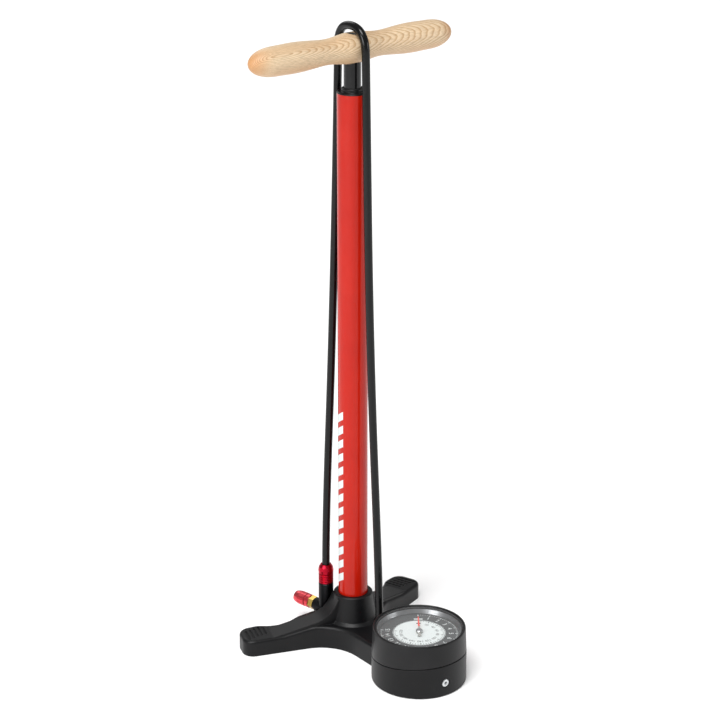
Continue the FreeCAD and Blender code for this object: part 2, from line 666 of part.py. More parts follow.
def build_movement():
    """Stem, curved pressure tube with its end block, plates and pillars."""
    stem = new_body("gauge_stem")

    def foot(sketch):
        polygon(sketch, [("6", "-5.5"), ("6", "5.5"), ("-6", "5.5"), ("-6", "-5.5")])

    pad(stem, foot, "plate_low - case_floor - 7.5", offset=lifted("case_floor + 7"))
    pocket(stem, lambda sketch: circle(sketch, "0", "0", "channel_radius"), "20",
           offset=lifted("case_floor + 7"), Reversed=True)
    place(stem, y="-gauge_offset + tube_radius")
    tube = new_body("bourdon_tube")
    sketch = sketch_on(tube, "XZ_Plane")
    for inset in (0, 0.5):
        inner = "tube_radius - %.1f" % (1.5 - inset)
        outer = "tube_radius + %.1f" % (1.5 - inset)
        low = "plate_low + %.1f" % (1.8 + inset)
        high = "plate_high - %.1f" % (1.4 + inset)
        polygon(sketch, [(inner, low), (outer, low), (outer, high), (inner, high)])
    feature(tube, "Revolution", sketch, ReferenceAxis=(sketch, ["V_Axis"]), Angle=245)
    place(tube, y="-gauge_offset", turn="97")
    blocks = []
    # the blocks stand just off the two ends of the tube, at 97 and at 342 degrees
    for index, angle in enumerate(("97 - 132 / tube_radius", "342 + 158.4 / tube_radius")):
        block = new_body("tube_block_%d" % index)
        low = "plate_low - 0.5" if index == 0 else "plate_low + 1"

        def draw(sketch):
            polygon(sketch, [("tube_radius - 3", "-2.6"), ("tube_radius + 3", "-2.6"),
                             ("tube_radius + 3", "1.9"), ("tube_radius - 3", "1.9")])

        pad(block, draw, "plate_high - 0.6 - (%s)" % low, offset=lifted(low))
        place(block, y="-gauge_offset", turn=angle)
        blocks.append(block)
    group("tube_blocks", blocks)
    plates = []
    for name, low in (("plate_under", "plate_low"), ("plate_over", "plate_high")):
        plate = new_body(name)

        def outline(sketch):
            polygon(sketch, [("9", "-16"), ("9", "16"), ("-29", "16"), ("-29", "-16")])
            circle(sketch, "0", "0", "1.25")
            circle(sketch, "-gear_module * (pinion_teeth + sector_teeth) / 2", "0", "1.25")
            for x, y in pillar_spots():
                circle(sketch, x, y, "1.8")

        pad(plate, outline, "1.2", offset=lifted(low))
        gauge_place(plate)
        plates.append(plate)
    group("movement_plates", plates)
    pillars = []
    for index, (x, y) in enumerate(pillar_spots()):
        pillars.append(rod("pillar_%d" % index, "1.8", "case_floor", "dial_high - 1",
                           x=x, y="%s - gauge_offset" % y))
    group("movement_pillars", pillars)


def pillar_spots():
    """Where the four pillars stand, from the gauge's axis."""
    return [("-23", "-13.4"), ("-23", "13.4"), ("6", "-13"), ("6", "13")]


def gear_outline(teeth, module, slack, addendum, first, count):
    """Points of involute teeth numbered from first, thinned by slack for a free mesh."""
    pitch = module * teeth / 2.0
    base = pitch * math.cos(math.radians(20))
    outer = pitch + addendum * module
    root = pitch - 1.25 * module
    flat = math.tan(math.radians(20)) - math.radians(20)
    half = math.pi / (2 * teeth) - slack / (2 * pitch)
    points = []
    for tooth in range(first, first + count):
        middle = 2 * math.pi * tooth / teeth
        rise = []
        for step in range(6):
            radius = max(base, root) + (outer - max(base, root)) * step / 5.0
            roll = math.acos(base / radius)
            away = half + flat - (math.tan(roll) - roll)
            rise.append((radius, away))
        low = half + flat
        flank = [(root, low)] + rise if root < base else [(root, rise[0][1])] + rise
        for radius, away in flank:
            points.append((radius, middle - away))
        for radius, away in reversed(flank):
            points.append((radius, middle + away))
    return points


def prism(points, height):
    """A solid with a plan given as (radius, angle) pairs."""
    spots = [FreeCAD.Vector(r * math.cos(a), r * math.sin(a), 0) for r, a in points]
    wire = Part.makePolygon(spots + spots[:1])
    return Part.Face(wire).extrude(FreeCAD.Vector(0, 0, height))


def stored(label, shape):
    """Keep a solid that no sketch or primitive gives."""
    thing = document.addObject("Part::Feature", label)
    thing.Label = label
    thing.Shape = shape
    return thing


def build_gears():
    """Pointer with its arbor and pinion, and the toothed sector that turns it."""
    module = number("gear_module")
    pinion_count = int(number("pinion_teeth"))
    sector_count = int(number("sector_teeth"))
    sweep = 280.0 * pinion_count / sector_count
    reach = int(round((sweep / 2 + 11) / 360.0 * sector_count))
    lead = int(round(sweep / 2 / 360.0 * sector_count))
    outline = gear_outline(sector_count, module, 0.10, 0.8, -reach - lead, 2 * reach + 1)
    points = [(2.6, -0.9 - math.radians(sweep / 2))] + outline
    points += [(2.6, 0.9 - math.radians(sweep / 2)), (2.6, math.pi - math.radians(sweep / 2))]
    sector = prism(points, 1.4).fuse(Part.makeCylinder(3.2, 1.4))
    sector = sector.cut(Part.makeCylinder(1.2, 10, FreeCAD.Vector(0, 0, -2)))
    pivot = "-gear_module * (pinion_teeth + sector_teeth) / 2"
    place(stored("sector_gear", sector), x=pivot, y="-gauge_offset", z="plate_low + 4.4")
    arbor = Part.makeCylinder(1.2, number("plate_high - plate_low") + 2.2)
    place(stored("sector_arbor", arbor), x=pivot, y="-gauge_offset", z="plate_low - 0.4")
    turn = math.pi / pinion_count
    teeth = gear_outline(pinion_count, module, 0.10, 0.8, 0, pinion_count)
    pinion = prism([(r, a + turn) for r, a in teeth], 3.0)
    pinion = pinion.cut(Part.makeCylinder(1.2, 10, FreeCAD.Vector(0, 0, -2)))
    place(stored("pinion", pinion), y="-gauge_offset", z="plate_low + 3.6")
    rod("pointer_arbor", "1.2", "plate_low - 0.4", "dial_high + 3.2", y="-gauge_offset")
    body = new_body("pointer")

    def hand(sketch):
        polygon(sketch, [("-10", "-1.9"), ("0", "-1.1"), ("30", "-0.55"), ("33", "0"),
                         ("30", "0.55"), ("0", "1.1"), ("-10", "1.9")])

    pad(body, hand, "0.7", offset=lifted("dial_high + 1.4"))
    pad(body, lambda sketch: circle(sketch, "0", "0", "3.4"), "1.9", offset=lifted("dial_high + 0.9"))
    pocket(body, lambda sketch: circle(sketch, "0", "0", "1.2"), "200", Midplane=True)
    place(body, y="-gauge_offset", turn="53")


# ---------------------------------------------------------------- hose and chuck
def hose_points():
    """Corners of the hose's run, with the radius of the bend at each inner corner."""
    foot = -number("hose_foot")
    over = number("grip_centre + grip_boss + hose_outer / 2 + 1.6")
    front = -number("grip_boss + hose_outer / 2 + 0.9")
    back = front + number("2 * grip_boss + 12.6")
    arch = (back - front) / 2 - 0.1
    side = -number("chuck_side")
    rear = number("chuck_back")
    return [((0, foot, number("deck_high + 6")), 0),
            ((0, foot, number("deck_high + 41")), 300),
            ((0, front - 7.5, number("barrel_top - 255")), 900),
            ((0, front, over), arch),
            ((0, back, over), arch),
            ((side * 0.5, back, number("barrel_top - 235")), 900),
            ((side, rear, number("chuck_nut_high + 46")), 300),
            ((side, rear, number("chuck_nut_high - 15")), 0)]


def hose_wire():
    """Straight runs joined by tangent arcs."""
    corners = [(FreeCAD.Vector(*spot), radius) for spot, radius in hose_points()]
    edges = []
    at = corners[0][0]
    for index in range(1, len(corners) - 1):
        spot, radius = corners[index]
        back = (corners[index - 1][0] - spot).normalize()
        on = (corners[index + 1][0] - spot).normalize()
        turn = math.pi - back.getAngle(on)
        reach = radius * math.tan(turn / 2)
        start = spot + back * reach
        stop = spot + on * reach
        middle = (back + on).normalize()
        inner = spot + middle * (radius / math.cos(turn / 2) - radius)
        print("hose bend %d: radius %.1f, turn %.2f, reach %.2f" % (
            index, radius, math.degrees(turn), reach))
        if (start - at).Length > 0.001:
            edges.append(Part.LineSegment(at, start).toShape())
        edges.append(Part.Arc(start, inner, stop).toShape())
        at = stop
    edges.append(Part.LineSegment(at, corners[-1][0]).toShape())
    return Part.Wire(edges)


def build_hose():
    """The hose as one plain tube, and the fitting at its foot."""
    wire = hose_wire()
    start = wire.Vertexes[0].Point
    solids = []
    for radius in ("hose_outer / 2", "hose_inner / 2"):
        profile = Part.Wire([Part.makeCircle(number(radius), start, FreeCAD.Vector(0, 0, 1))])
        solids.append(wire.makePipeShell([profile], True, False))
    tube = solids[0].cut(solids[1])
    section = math.pi / 4 * (number("hose_outer") ** 2 - number("hose_inner") ** 2)
    print("hose length %.1f, volume %.0f, section x length %.0f" % (
        wire.Length, tube.Volume, section * wire.Length))
    stored("hose", tube)
    fitting = new_body("hose_fitting")
    pad(fitting, lambda sketch: hexagon(sketch, "6"), "7", offset=lifted("deck_high"))
    spin(fitting, [
        ("0", "deck_high - 7.7"), ("4.3", "deck_high - 7.7"), ("4.3", "deck_high"),
        ("5.6", "deck_high + 6.9"), ("5.6", "deck_high + 15"), ("4.9", "deck_high + 16"),
        ("0", "deck_high + 16")])
    spin(fitting, [
        ("0", "deck_high - 9"), ("1.5", "deck_high - 9"), ("1.5", "deck_high + 5"),
        ("hose_outer / 2 + 0.1", "deck_high + 5"), ("hose_outer / 2 + 0.1", "deck_high + 18"),
        ("0", "deck_high + 18")], cut=True)
    place(fitting, y="-hose_foot")


def build_chuck():
    """The head at the hose's end: nut, body with a side branch, brass hexagon and screw cap."""
    where = {"x": "-chuck_side", "y": "chuck_back"}
    profile = [("hose_outer / 2 + 0.1", "chuck_high + 5"), ("3", "chuck_high + 5"),
               ("3", "chuck_high"), ("7.2", "chuck_high")]
    for index in range(4):
        low = 0.4 + 2.6 * index
        profile += [("7.8", "chuck_high + %.1f" % (low + 0.3)),
                    ("7.8", "chuck_high + %.1f" % (low + 1.7)),
                    ("7.2", "chuck_high + %.1f" % (low + 2.1))]
    profile += [("7.8", "chuck_high + 11.4"), ("8.1", "chuck_high + 14.5"),
                ("7.4", "chuck_high + 18.2"), ("5.6", "chuck_nut_high"),
                ("hose_outer / 2 + 0.1", "chuck_nut_high")]
    turned("chuck_nut", profile, **where)
    body = new_body("chuck_body")
    spin(body, [
        ("0", "branch_high - 10"), ("chuck_radius - 0.6", "branch_high - 10"),
        ("chuck_radius", "branch_high - 9.4"), ("chuck_radius", "chuck_high - 0.6"),
        ("chuck_radius - 0.6", "chuck_high"), ("0", "chuck_high")])
    pad(body, lambda sketch: circle(sketch, "0", "branch_high", "chuck_radius + 0.8"),
        "branch_black - 4.5", role="XZ_Plane", Reversed=True)
    pad(body, lambda sketch: circle(sketch, "0", "branch_high", "6.6"),
        "branch_black", role="XZ_Plane", Reversed=True)
    spin(body, [("0", "branch_high - 11"), ("3.5", "branch_high - 11"), ("3.5", "branch_high + 2"),
                ("1.5", "branch_high + 4"), ("1.5", "chuck_high + 1"), ("0", "chuck_high + 1")],
         cut=True)
    pocket(body, lambda sketch: circle(sketch, "0", "branch_high", "1.5"), "branch_black + 1",
           role="XZ_Plane")
    place(body, turn="branch_angle - 90", **where)
    branch = {"x": "-chuck_side", "y": "chuck_back", "z": "branch_high"}
    brass = new_body("chuck_hex")
    pad(brass, lambda sketch: hexagon(sketch, "6.3"), "branch_brass - branch_black",
        offset=lifted("branch_black"))
    pad(brass, lambda sketch: circle(sketch, "0", "0", "4.4"), "branch_brass + 7 - branch_black",
        offset=lifted("branch_black"))
    pocket(brass, lambda sketch: circle(sketch, "0", "0", "1.5"), "200", Midplane=True)
    lay_along_branch(brass, branch)
    lay_along_branch(turned("chuck_seal", [
        ("2.6", "branch_brass + 7"), ("4.4", "branch_brass + 7"), ("4.4", "branch_brass + 11"),
        ("2.6", "branch_brass + 11")]), branch)
    cap = new_body("chuck_cap")
    spin(cap, [
        ("4.5", "branch_brass + 0.1"), ("6.8", "branch_brass + 0.1"), ("7.2", "branch_brass + 0.6"),
        ("7.2", "branch_brass + 4"), ("6.6", "branch_brass + 4.6"), ("6.6", "branch_brass + 5.6"),
        ("7.3", "branch_brass + 6.2"), ("7.3", "branch_tip - 6"), ("6.7", "branch_tip - 2.5"),
        ("5.9", "branch_tip"), ("4", "branch_tip"), ("4", "branch_brass + 11"),
        ("4.5", "branch_brass + 11")])

    def grooves(sketch):
        for angle in range(0, 360, 30):
            circle(sketch, "7.8 * cos(%d)" % angle, "7.8 * sin(%d)" % angle, "0.9")

    pocket(cap, grooves, "branch_tip - branch_brass - 13", offset=lifted("branch_brass + 6.6"),
           Reversed=True)
    lay_along_branch(cap, branch)


def lay_along_branch(body, where):
    """Lay a piece turned upright along the chuck's level branch."""
    angle = math.radians(number("branch_angle"))
    along = FreeCAD.Vector(math.cos(angle), math.sin(angle), 0)
    turn = FreeCAD.Rotation(FreeCAD.Vector(0, 0, 1), along)
    body.setExpression("Placement.Rotation.Angle", None)
    body.Placement = FreeCAD.Placement(FreeCAD.Vector(), turn)
    bind(body, "Placement.Base.x", where["x"])
    bind(body, "Placement.Base.y", where["y"])
    bind(body, "Placement.Base.z", where["z"])


build_base()
build_small_base_parts()
build_barrel()
build_plunger()
build_valve()
build_gauge_case()
build_movement()
build_gears()
build_hose()
build_chuck()
document.recompute()

LOOSE = ("foot_", "case_screw_", "rod_plug_", "tube_block_", "plate_", "pillar_")
nodes = []
for item in document.Objects:
    if item.TypeId in ("PartDesign::Body", "Part::Compound", "Part::Feature", "Part::Sphere"):
        if item.Label == "foot_pads" or not item.Label.startswith(LOOSE):
            nodes.append(item)
for item in document.Objects:
    if "Invalid" in item.State or "Error" in item.State:
        raise RuntimeError("%s failed: %s" % (item.Label, item.State))
os.makedirs("parts", exist_ok=True)
for item in nodes:
    if not item.Shape.isValid() or item.Shape.Volume <= 0 or not item.Shape.Solids:
        raise RuntimeError("%s is not a sound solid" % item.Label)
    item.Shape.exportStep("parts/%s.step" % item.Label)
    print("%-18s solids %d volume %.1f" % (
        item.Label, len(item.Shape.Solids), item.Shape.Volume))
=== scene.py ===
"""Looks of a floor-standing bicycle pump: materials, printed dial, hose and small fittings."""
import math

import bmesh
import bpy
from mathutils import Matrix, Vector


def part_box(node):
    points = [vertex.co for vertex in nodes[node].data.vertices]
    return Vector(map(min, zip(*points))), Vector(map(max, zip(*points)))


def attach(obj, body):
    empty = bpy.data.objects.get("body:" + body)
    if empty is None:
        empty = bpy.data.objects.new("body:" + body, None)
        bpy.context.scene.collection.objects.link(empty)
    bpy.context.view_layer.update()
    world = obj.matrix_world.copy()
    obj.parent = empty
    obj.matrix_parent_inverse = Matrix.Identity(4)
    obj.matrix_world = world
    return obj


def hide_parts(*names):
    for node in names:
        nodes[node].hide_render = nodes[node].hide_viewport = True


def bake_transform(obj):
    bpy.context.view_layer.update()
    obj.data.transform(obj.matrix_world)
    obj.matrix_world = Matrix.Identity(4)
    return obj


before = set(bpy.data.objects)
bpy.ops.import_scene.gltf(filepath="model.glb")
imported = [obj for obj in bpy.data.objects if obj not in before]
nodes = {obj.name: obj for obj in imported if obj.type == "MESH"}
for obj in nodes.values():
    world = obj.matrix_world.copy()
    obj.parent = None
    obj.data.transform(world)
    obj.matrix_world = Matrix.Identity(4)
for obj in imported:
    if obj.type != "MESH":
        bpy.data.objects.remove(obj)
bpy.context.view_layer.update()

MM = 0.001
GAUGE_Y = -110.3 * MM  # the gauge's upright axis is at X = 0
DIAL_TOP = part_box("dial_plate")[1].z


# ---------------------------------------------------------------- camera
CAMERA_PLACE = (-1.2923, -1.6923, 1.1287)
CAMERA_AIM = (0.0058, -0.0044, 0.3123)
LENS_LENGTH = 113.18
SENSOR_WIDTH = 36.0
FARTHEST_SEEN = 200.0


def add_camera():
    """A long lens a little above the grip, looking down past it at the dial."""
    camera = bpy.data.cameras.new("studio_camera")
    camera.lens = LENS_LENGTH
    camera.sensor_width = SENSOR_WIDTH
    camera.clip_end = FARTHEST_SEEN
    stand = bpy.data.objects.new("studio_camera", camera)
    bpy.context.collection.objects.link(stand)
    stand.location = Vector(CAMERA_PLACE)
    look = Vector(CAMERA_AIM) - stand.location
    stand.rotation_euler = look.to_track_quat("-Z", "Y").to_euler()
    bpy.context.scene.camera = stand


add_camera()


# ---------------------------------------------------------------- small helpers
def linear(code):
    """An sRGB hex colour as linear RGBA."""
    parts = [int(code[index:index + 2], 16) / 255 for index in (1, 3, 5)]
    return [part / 12.92 if part <= 0.04045 else ((part + 0.055) / 1.055) ** 2.4
            for part in parts] + [1.0]


def add(tree, kind, settings=None, out=0, **links):
    """Add a node, set what settings names, link or fill its inputs, and give one output.

    An input is named with _ for a space, or by its number after an i. Stops fill a colour ramp.
    """
    item = tree.nodes.new(kind)
    for name, value in (settings or {}).items():
        if name != "stops":
            setattr(item, name, value)
            continue
        band = item.color_ramp.elements
        while len(band) < len(value):
            band.new(0.5)
        for element, (position, colour) in zip(band, value):
            element.position = position
            element.color = linear(colour)
    for name, value in links.items():
        key = int(name[1:]) if name[0] == "i" and name[1:].isdigit() else name.replace("_", " ")
        if isinstance(value, bpy.types.NodeSocket):
            tree.links.new(value, item.inputs[key])
        else:
            item.inputs[key].default_value = value
    return item.outputs[out]


def new_material(name, **values):
    """A material with a Principled shader whose sockets get the plain values."""
    material = bpy.data.materials.new(name)
    material.use_nodes = True
    shader = material.node_tree.nodes["Principled BSDF"]
    for socket, value in values.items():
        shader.inputs[socket.replace("_", " ")].default_value = value
    return material, material.node_tree


def drive(tree, **patterns):
    """Link patterns to the Principled shader's sockets."""
    shader = tree.nodes["Principled BSDF"]
    for socket, value in patterns.items():
        tree.links.new(value, shader.inputs[socket.replace("_", " ")])


# ---------------------------------------------------------------- materials
def moulded_plastic(name, dark, light, low, high, grain=0.9, edge=0.8):
    """Moulded nylon or acetal: a fine spark texture gives it a dull satin sheen.

    Its edges look eased by the given millimetres, which is what catches the light on them.
    """
    material, tree = new_material(name, IOR=1.5, Specular_IOR_Level=0.24)
    spot = add(tree, "ShaderNodeTexCoord", out="Object")
    cloud = add(tree, "ShaderNodeTexNoise", Vector=spot, Scale=35.0, Detail=3.0)
    colour = add(tree, "ShaderNodeValToRGB", {"stops": [(0.3, dark), (0.75, light)]}, Fac=cloud)
    rough = add(tree, "ShaderNodeMapRange", Value=cloud, To_Min=low, To_Max=high)
    # the spark texture's grain is given in millimetres, coarser than real so that it shows
    grit = add(tree, "ShaderNodeTexNoise", Vector=spot, Scale=1000.0 / grain, Detail=2.0)
    eased = add(tree, "ShaderNodeBevel", {"samples": 6}, Radius=edge * MM)
    normal = add(tree, "ShaderNodeBump", Height=grit, Strength=0.14, Distance=0.12 * MM,
                 Normal=eased)
    drive(tree, Base_Color=colour, Roughness=rough, Normal=normal)
    return material


def gloss_paint(name, dark, main, rough, coat):
    """Gloss powder paint on a drawn steel tube: slight orange peel softens its reflections."""
    material, tree = new_material(name, IOR=1.46, Specular_IOR_Level=0.22,
                                  Coat_Weight=coat, Coat_Roughness=0.08)
    spot = add(tree, "ShaderNodeTexCoord", out="Object")
    cloud = add(tree, "ShaderNodeTexNoise", Vector=spot, Scale=20.0, Detail=3.0)
    colour = add(tree, "ShaderNodeValToRGB", {"stops": [(0.25, dark), (0.7, main)]}, Fac=cloud)
    # orange peel is 2.2 mm from hump to hump
    peel = add(tree, "ShaderNodeTexNoise", Vector=spot, Scale=450.0, Detail=1.0)
    shine = add(tree, "ShaderNodeMapRange", Value=peel, To_Min=rough, To_Max=rough + 0.1)
    normal = add(tree, "ShaderNodeBump", Height=peel, Strength=0.05, Distance=0.1 * MM)
    drive(tree, Base_Color=colour, Roughness=shine, Normal=normal)
    return material


def extruded_rubber():
    """Extruded rubber hose: nearly glossy, with faint lengthwise drawing lines and some bloom."""
    material, tree = new_material("extruded_rubber", IOR=1.52, Specular_IOR_Level=0.26)
    spot = add(tree, "ShaderNodeTexCoord", out="Object")
    along = add(tree, "ShaderNodeMapping", Vector=spot, Scale=(1, 1, 0.04))
    # lines 1.1 mm apart round the hose and 28 mm long
    lines = add(tree, "ShaderNodeTexNoise", Vector=along, Scale=900.0, Detail=2.0)
    bloom = add(tree, "ShaderNodeTexNoise", Vector=spot, Scale=30.0, Detail=3.0)
    colour = add(tree, "ShaderNodeValToRGB", {"stops": [(0.3, "#060607"), (0.8, "#0D0D0E")]},
                 Fac=bloom)
    rough = add(tree, "ShaderNodeMapRange", Value=lines, To_Min=0.14, To_Max=0.26)
    normal = add(tree, "ShaderNodeBump", Height=lines, Strength=0.08, Distance=0.08 * MM)
    drive(tree, Base_Color=colour, Roughness=rough, Normal=normal)
    return material


def seal_rubber():
    """Moulded rubber: matt and near black, with a dusty surface."""
    material, tree = new_material("moulded_seal_rubber", IOR=1.52, Specular_IOR_Level=0.3)
    spot = add(tree, "ShaderNodeTexCoord", out="Object")
    dust = add(tree, "ShaderNodeTexNoise", Vector=spot, Scale=300.0, Detail=3.0)
    colour = add(tree, "ShaderNodeValToRGB", {"stops": [(0.3, "#101011"), (0.8, "#1E1E1F")]},
                 Fac=dust)
    rough = add(tree, "ShaderNodeMapRange", Value=dust, To_Min=0.6, To_Max=0.8)
    normal = add(tree, "ShaderNodeBump", Height=dust, Strength=0.1, Distance=0.1 * MM)
    drive(tree, Base_Color=colour, Roughness=rough, Normal=normal)
    return material


# one wave of Blender's ring pattern at a scale of 1, and the real distance between rings
WAVE_LENGTH = 0.314
RING_GAP = 1.1 * MM
# where the ends of the grip start to toast and where they are fully toasted, from its middle
TOAST_START, TOAST_FULL = 0.098, 0.1215
# heights between which painted shade turns the grip's underside brown
UNDERSIDE_SHADE_START, UNDERSIDE_SHADE_FULL = 0.629, 0.6165


def turned_ash():
    """Turned ash under thin oil: long nested arches of grain, pores, and toasted ends."""
    material, tree = new_material("turned_ash", IOR=1.5, Specular_IOR_Level=0.35,
                                  Coat_Weight=0.12, Coat_Roughness=0.3)
    spot = add(tree, "ShaderNodeTexCoord", out="Object")
    # growth rings 1.1 mm apart, drawn out seven times along the grip round a heart near one end
    heart = add(tree, "ShaderNodeMapping", Vector=spot, Location=(0.0123, 0.011, -0.6395),
                Scale=(0.14, 1, 1))
    rings = add(tree, "ShaderNodeTexWave",
                {"wave_type": "RINGS", "rings_direction": "SPHERICAL", "wave_profile": "SAW"},
                Vector=heart, Scale=WAVE_LENGTH / RING_GAP, Distortion=4.5, Detail=2.0,
                Detail_Scale=0.45, Detail_Roughness=0.5)
    early = add(tree, "ShaderNodeValToRGB",
                {"stops": [(0.0, "#DFCDB1"), (0.5, "#DAC6A9"), (0.86, "#BE9F7A"),
                           (1.0, "#DBC9AD")]}, Fac=rings)
    # broad drifts of tone, about 22 mm across the grip and 160 mm along it
    tone = add(tree, "ShaderNodeTexNoise", Vector=heart, Scale=45.0, Detail=2.0)
    blush = add(tree, "ShaderNodeValToRGB", {"stops": [(0.35, "#EBCDAA"), (0.65, "#FFFAF0")]},
                Fac=tone)
    toned = add(tree, "ShaderNodeMix", {"data_type": "RGBA", "blend_type": "MULTIPLY"},
                out=2, i0=0.55, i6=early, i7=blush)
    # pores are dashes about 0.4 mm wide and 8 mm long
    drawn = add(tree, "ShaderNodeMapping", Vector=spot, Scale=(0.05, 1, 1))
    pores = add(tree, "ShaderNodeTexNoise", Vector=drawn, Scale=2400.0, Detail=2.0,
                Roughness=0.6)
    dashes = add(tree, "ShaderNodeValToRGB", {"stops": [(0.36, "#5A3C22"), (0.54, "#FFFFFF")]},
                 Fac=pores)
    mixed = add(tree, "ShaderNodeMix", {"data_type": "RGBA", "blend_type": "MULTIPLY"},
                out=2, i0=0.28, i6=toned, i7=dashes)
    # toasting of the last 23 mm of both ends, and painted shade darkening the underside
    across = add(tree, "ShaderNodeSeparateXYZ", Vector=spot)
    reach = add(tree, "ShaderNodeMath", {"operation": "ABSOLUTE"}, i0=across)
    end = add(tree, "ShaderNodeMapRange", {"interpolation_type": "SMOOTHSTEP"}, Value=reach,
              From_Min=TOAST_START, From_Max=TOAST_FULL, To_Min=0.0, To_Max=0.85)
    height = add(tree, "ShaderNodeSeparateXYZ", out="Z", Vector=spot)
    # painted shade: the lower the grip's surface, the browner it is painted
    under = add(tree, "ShaderNodeMapRange", {"interpolation_type": "SMOOTHSTEP"}, Value=height,
                From_Min=UNDERSIDE_SHADE_START, From_Max=UNDERSIDE_SHADE_FULL, To_Min=0.0, To_Max=0.5)
    toast_and_painted_shade = add(tree, "ShaderNodeMath", {"operation": "MAXIMUM"}, i0=end, i1=under)
    brown = add(tree, "ShaderNodeValToRGB",
                {"stops": [(0.0, "#CF9C68"), (0.6, "#B98250"), (1.0, "#8E5A32")]}, Fac=rings)
    final = add(tree, "ShaderNodeMix", {"data_type": "RGBA"}, out=2, i0=toast_and_painted_shade, i6=mixed,
                i7=brown)
    rough = add(tree, "ShaderNodeMapRange", Value=pores, To_Min=0.42, To_Max=0.58)
    normal = add(tree, "ShaderNodeBump", Height=pores, Strength=0.15, Distance=0.1 * MM)
    drive(tree, Base_Color=final, Roughness=rough, Normal=normal)
    return material


def turned_metal(name, dark, light, low, high, pitch=0.25):
    """Turned and then plated or anodised metal: a fine tooled grain softens its highlights."""
    material, tree = new_material(name, Metallic=1.0)
    spot = add(tree, "ShaderNodeTexCoord", out="Object")
    cloud = add(tree, "ShaderNodeTexNoise", Vector=spot, Scale=60.0, Detail=3.0)
    colour = add(tree, "ShaderNodeValToRGB", {"stops": [(0.3, dark), (0.75, light)]}, Fac=cloud)
    # the pitch is the grain's size in millimetres
    fine = add(tree, "ShaderNodeTexNoise", Vector=spot, Scale=1000.0 / pitch, Detail=2.0)
    rough = add(tree, "ShaderNodeMapRange", Value=fine, To_Min=low, To_Max=high)
    normal = add(tree, "ShaderNodeBump", Height=fine, Strength=0.06, Distance=0.05 * MM)
    drive(tree, Base_Color=colour, Roughness=rough, Normal=normal)
    return material


def socket_screw():
    """A zinc-plated button screw: bright dished head round a hexagon socket painted dark as its
    shade.
    """
    material, tree = new_material("zinc_button_screw", Metallic=1.0)
    low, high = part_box("rim_screw")
    middle = (low + high) / 2
    spot = add(tree, "ShaderNodeTexCoord", out="Object")
    home = add(tree, "ShaderNodeVectorMath", {"operation": "SUBTRACT"}, i0=spot,
               i1=tuple(middle))
    flat = add(tree, "ShaderNodeVectorMath", {"operation": "MULTIPLY"}, i0=home, i1=(1, 0, 1))
    reach = add(tree, "ShaderNodeVectorMath", {"operation": "LENGTH"}, out="Value", i0=flat)
    # the socket is 2.5 mm across, painted dark grey as the shade inside it
    socket_shade = add(tree, "ShaderNodeMapRange", Value=reach, From_Min=1.1 * MM, From_Max=1.4 * MM)
    plate = add(tree, "ShaderNodeTexNoise", Vector=spot, Scale=900.0, Detail=2.0)
    head = add(tree, "ShaderNodeValToRGB", {"stops": [(0.3, "#C6C8CA"), (0.75, "#E2E4E5")]},
               Fac=plate)
    colour = add(tree, "ShaderNodeMix", {"data_type": "RGBA"}, out=2, i0=socket_shade,
                 i6=linear("#3A3B3C"), i7=head)
    rough = add(tree, "ShaderNodeMapRange", Value=plate, To_Min=0.3, To_Max=0.45)
    drive(tree, Base_Color=colour, Roughness=rough)
    return material


def clear_lens():
    """A clear polycarbonate window: hardly any colour, with a soft reflection of the room."""
    material, tree = new_material("clear_polycarbonate", IOR=1.49, Alpha=0.04)
    spot = add(tree, "ShaderNodeTexCoord", out="Object")
    haze = add(tree, "ShaderNodeTexNoise", Vector=spot, Scale=25.0, Detail=3.0)
    colour = add(tree, "ShaderNodeValToRGB", {"stops": [(0.2, "#F4F6F6"), (0.8, "#FFFFFF")]},
                 Fac=haze)
    rough = add(tree, "ShaderNodeMapRange", Value=haze, To_Min=0.04, To_Max=0.08)
    drive(tree, Base_Color=colour, Roughness=rough)
    return material


def printed_ink(name, dark, light):
    """Screen-printed ink: a flat, matt film with slightly uneven cover."""
    material, tree = new_material(name, IOR=1.45)
    spot = add(tree, "ShaderNodeTexCoord", out="Object")
    cover = add(tree, "ShaderNodeTexNoise", Vector=spot, Scale=1200.0, Detail=3.0)
    colour = add(tree, "ShaderNodeValToRGB", {"stops": [(0.3, dark), (0.7, light)]}, Fac=cover)
    rough = add(tree, "ShaderNodeMapRange", Value=cover, To_Min=0.45, To_Max=0.6)
    drive(tree, Base_Color=colour, Roughness=rough)
    return material


def pointer_lacquer():
    """Stamped steel pointer: bare near its hub and lacquered red over its outer part."""
    material, tree = new_material("lacquered_pointer_steel", IOR=1.46)
    spot = add(tree, "ShaderNodeTexCoord", out="Object")
    home = add(tree, "ShaderNodeMapping", Vector=spot, Location=(0, -GAUGE_Y, 0),
               Scale=(1, 1, 0))
    reach = add(tree, "ShaderNodeVectorMath", {"operation": "LENGTH"}, out="Value", i0=home)
    cover = add(tree, "ShaderNodeTexNoise", Vector=spot, Scale=900.0, Detail=2.0)
    steel = add(tree, "ShaderNodeValToRGB", {"stops": [(0.3, "#8A8A86"), (0.7, "#A6A6A1")]},
                Fac=cover)
    red = add(tree, "ShaderNodeValToRGB", {"stops": [(0.3, "#DA3A2A"), (0.7, "#E64E3C")]},
              Fac=cover)
    # the lacquer starts 10.5 mm from the hub
    start = add(tree, "ShaderNodeMapRange", Value=reach, From_Min=10.3 * MM, From_Max=10.7 * MM)
    colour = add(tree, "ShaderNodeMix", {"data_type": "RGBA"}, out=2, i0=start, i6=steel,
                 i7=red)
    rough = add(tree, "ShaderNodeMapRange", Value=cover, To_Min=0.35, To_Max=0.5)
    drive(tree, Base_Color=colour, Roughness=rough)
    return material


